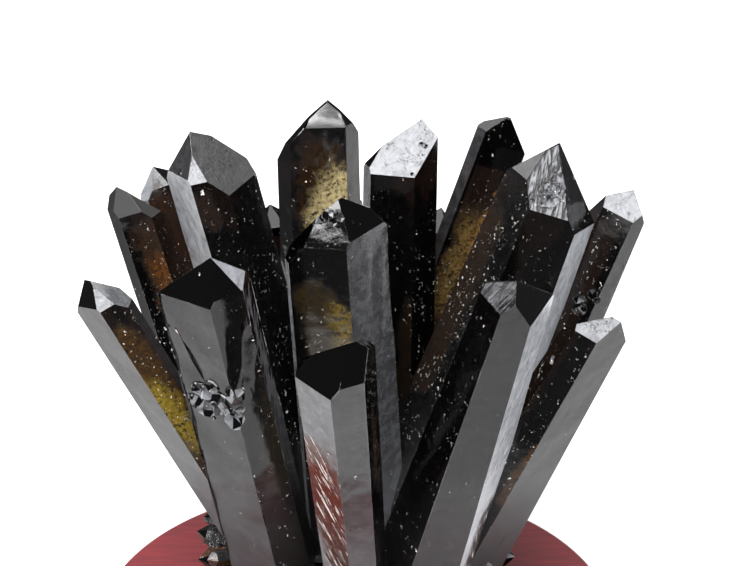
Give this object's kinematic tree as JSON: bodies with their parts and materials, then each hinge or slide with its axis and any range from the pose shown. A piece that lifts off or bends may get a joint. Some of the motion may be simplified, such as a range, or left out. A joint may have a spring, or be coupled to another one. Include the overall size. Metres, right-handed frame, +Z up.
{
  "type": "morion quartz cluster on a stand",
  "caption": "Radiating cluster of black smoky quartz crystals with faceted points, resting on a round red lacquered wooden stand.",
  "frame": {"origin": "centre of the stand's underside", "axes": "+Z up, -Y towards the specimen's front, +X to the right seen from the front"},
  "size_m": [0.1569, 0.163, 0.1738],
  "materials": {
    "morion_quartz": "natural crystal faces, glossy, nearly opaque brown-black, amber where light passes",
    "red_lacquer_wood": "dark red lacquer, satin gloss"
  },
  "bodies": {
    "root": {"quartz_cluster": "morion_quartz", "wood_stand": "red_lacquer_wood"}
  },
  "joints": []
}
